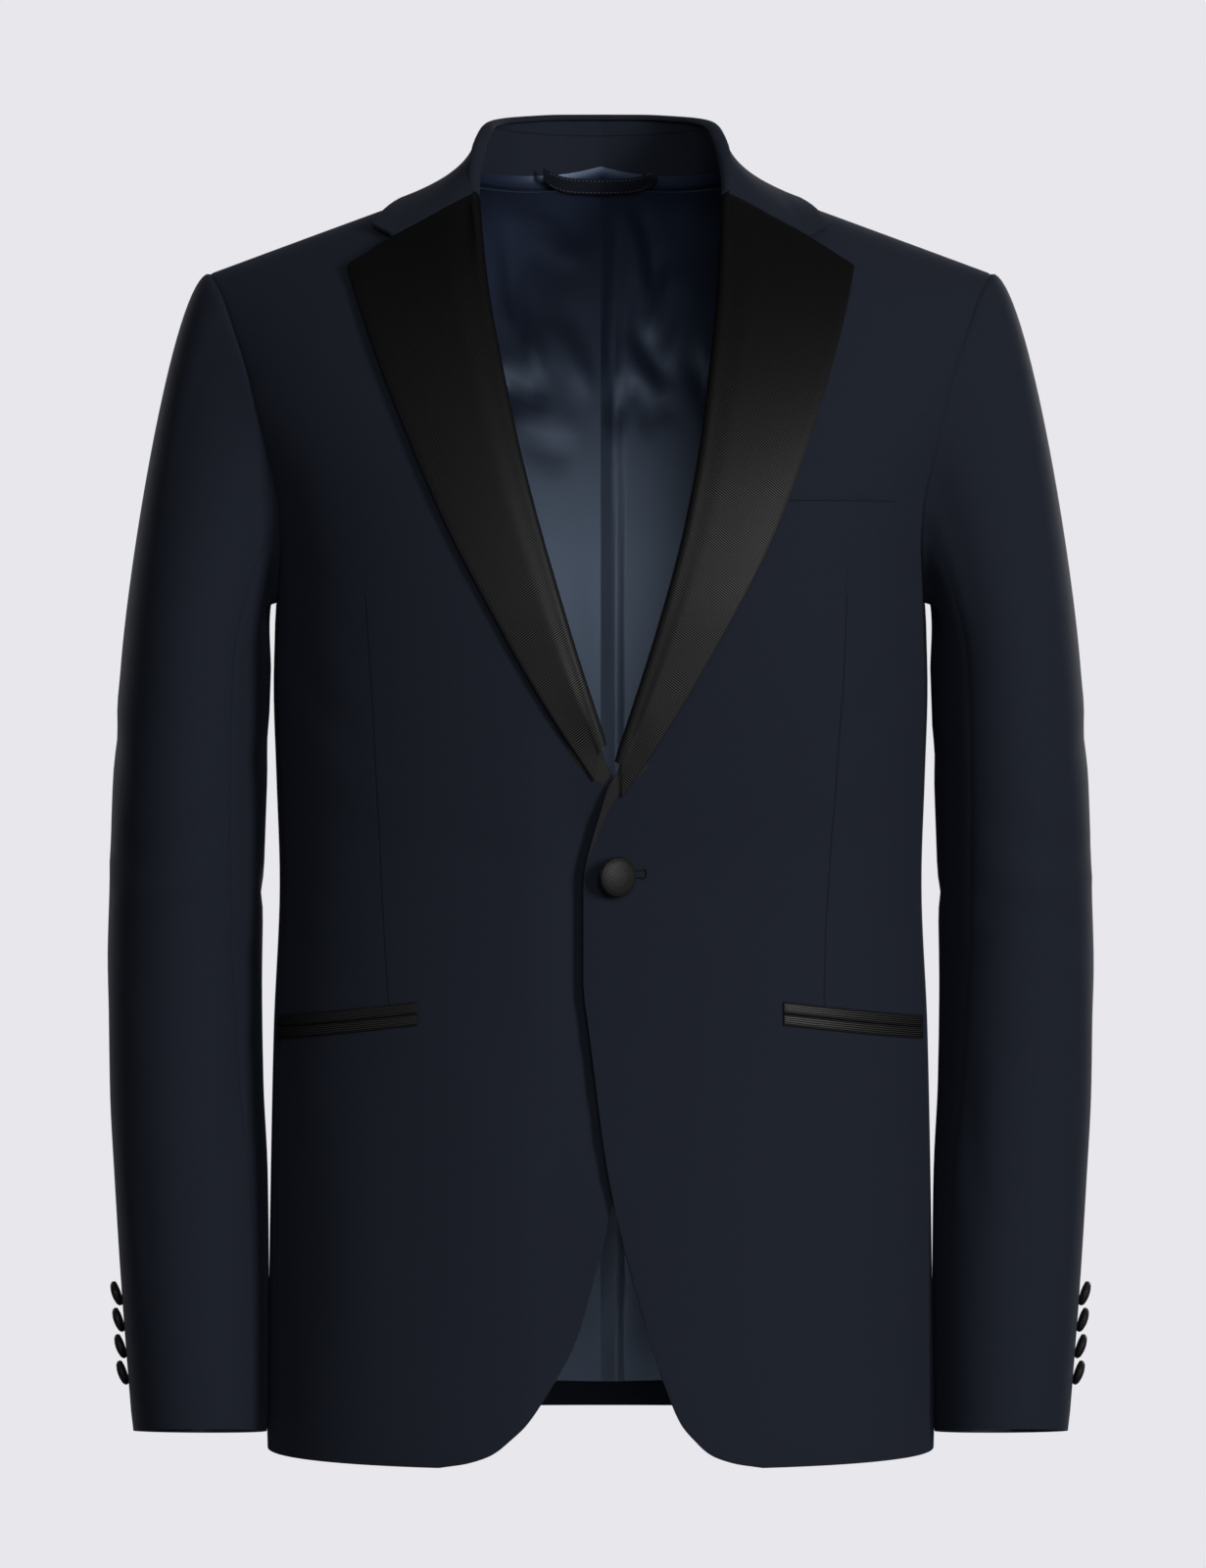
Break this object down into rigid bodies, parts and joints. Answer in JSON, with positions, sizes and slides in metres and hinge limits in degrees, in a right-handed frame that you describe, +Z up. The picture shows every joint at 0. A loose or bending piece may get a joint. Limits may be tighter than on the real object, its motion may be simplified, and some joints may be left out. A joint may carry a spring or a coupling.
{
  "type": "tuxedo jacket",
  "caption": "Hollow worn-shape dress jacket with rolled notch lapels, ribbed silk trim, rounded fronts, hip pockets and two-piece sleeves.",
  "frame": {"origin": "on the centre line at the height of the neck points of the shoulder seams, where the wearer's shoulders hold it", "axes": "+Z up; the front faces -Y; +X is the wearer's left"},
  "size_m": [0.579, 0.2619, 0.7868],
  "materials": {
    "wool": "fine navy wool",
    "grosgrain": "ribbed black silk",
    "satin": "navy satin lining"
  },
  "bodies": {
    "root": {"front_left": "wool", "front_right": "wool", "side_left": "wool", "side_right": "wool", "back_left": "wool", "back_right": "wool", "top_sleeve_left": "wool", "top_sleeve_right": "wool", "under_sleeve_left": "wool", "under_sleeve_right": "wool", "lapel_left": "grosgrain", "lapel_right": "grosgrain", "collar_fall": "wool", "collar_stand": "wool", "lining_back_left": "satin", "lining_back_right": "satin", "hanger_loop": "wool", "chest_welt": "wool", "jet_upper_left": "grosgrain", "jet_lower_left": "grosgrain", "jet_upper_right": "grosgrain", "jet_lower_right": "grosgrain", "front_button": "grosgrain", "cuff_button_left_1": "grosgrain", "cuff_button_left_2": "grosgrain", "cuff_button_left_3": "grosgrain", "cuff_button_left_4": "grosgrain", "cuff_button_right_1": "grosgrain", "cuff_button_right_2": "grosgrain", "cuff_button_right_3": "grosgrain", "cuff_button_right_4": "grosgrain"}
  },
  "joints": []
}
